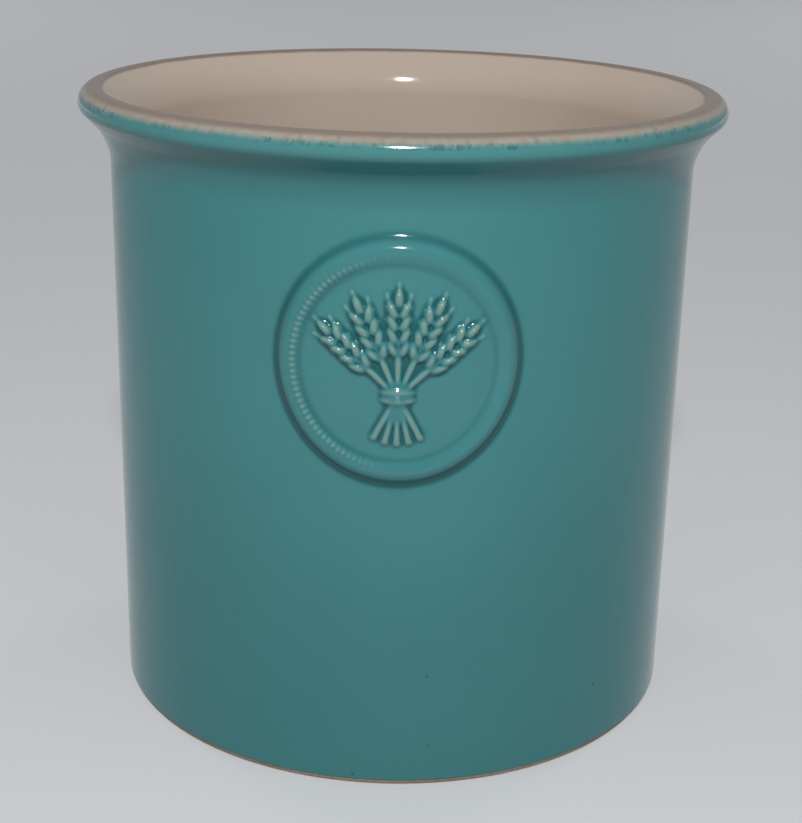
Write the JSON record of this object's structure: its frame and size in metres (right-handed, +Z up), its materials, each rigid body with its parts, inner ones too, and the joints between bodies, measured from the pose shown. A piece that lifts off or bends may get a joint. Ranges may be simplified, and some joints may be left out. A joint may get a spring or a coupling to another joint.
{
  "type": "utensil crock",
  "caption": "Wide cylindrical stoneware utensil crock with a flared lip, teal outer glaze, cream liner glaze and a round relief medallion on the front.",
  "frame": {"origin": "centre of the foot ring, on the surface the crock stands on", "axes": "+Z up along the crock's axis of revolution; -Y is the front, with the medallion"},
  "size_m": [0.1828, 0.1828, 0.178],
  "materials": {
    "bare_clay": "unglazed, matt",
    "teal_glaze": "gloss glaze",
    "cream_glaze": "gloss glaze"
  },
  "bodies": {
    "root": {"stoneware_body": "bare_clay", "outer_glaze": "teal_glaze", "liner_glaze": "cream_glaze", "medallion_ring": "teal_glaze", "medallion_sheaf": "teal_glaze"}
  },
  "joints": []
}
